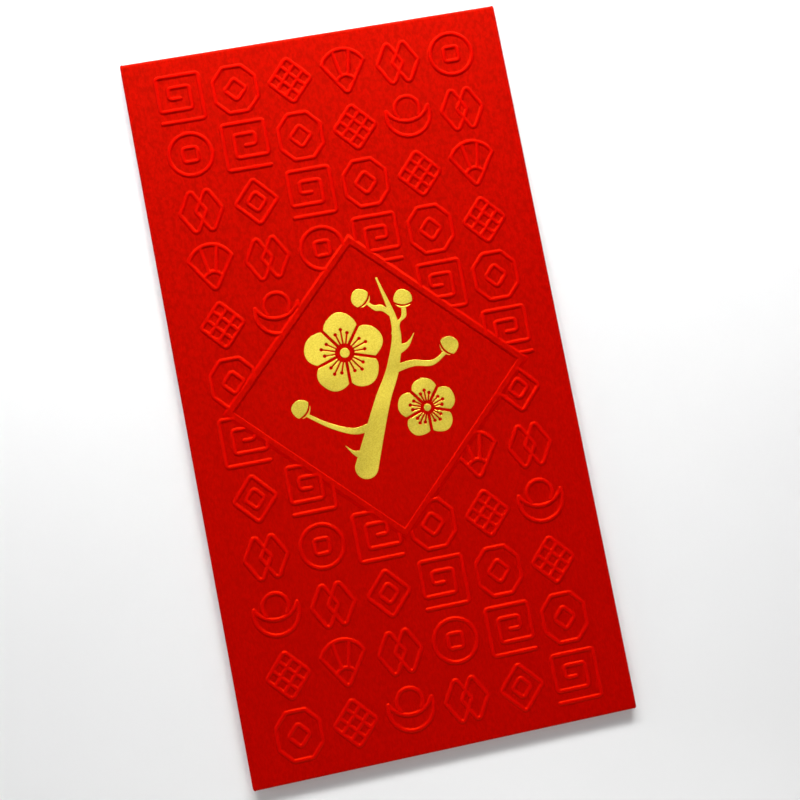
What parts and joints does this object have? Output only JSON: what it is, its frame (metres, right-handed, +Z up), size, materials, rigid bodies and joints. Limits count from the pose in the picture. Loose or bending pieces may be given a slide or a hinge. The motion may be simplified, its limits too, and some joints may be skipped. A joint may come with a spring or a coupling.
{
  "type": "red envelope",
  "caption": "Flat gift pocket of embossed red paper with folded glue tabs, a gold foil plum sprig in a raised square frame, and a closing flap that swings on its crease.",
  "frame": {"origin": "on the table under the middle of the envelope, which lies on its back with its face up", "axes": "+X across the face, +Y up the face towards the flap's crease, +Z up out of the face"},
  "size_m": [0.09, 0.17, 0.0025],
  "materials": {
    "red_paper": "matte, fine upright grain, dyed through",
    "gold_foil": "satin hot-stamped foil",
    "dry_glue": "clear dry film"
  },
  "bodies": {
    "pocket": {"front_panel": "red_paper", "left_side_fold": "red_paper", "right_side_fold": "red_paper", "left_glue_tab": "red_paper", "right_glue_tab": "red_paper", "left_glue_line": "dry_glue", "right_glue_line": "dry_glue", "bottom_fold": "red_paper", "back_panel": "red_paper", "flap_crease": "red_paper", "gold_emblem": "gold_foil"},
    "flap": {"closing_flap": "red_paper"}
  },
  "joints": [
    {"name": "flap_hinge", "type": "hinge", "parent": "pocket", "child": "flap", "pos_m": [0, 0.08445, 0.0011], "axis": [1, 0, 0], "range_deg": [0, 180], "deforming": ["flap_crease"]}
  ]
}
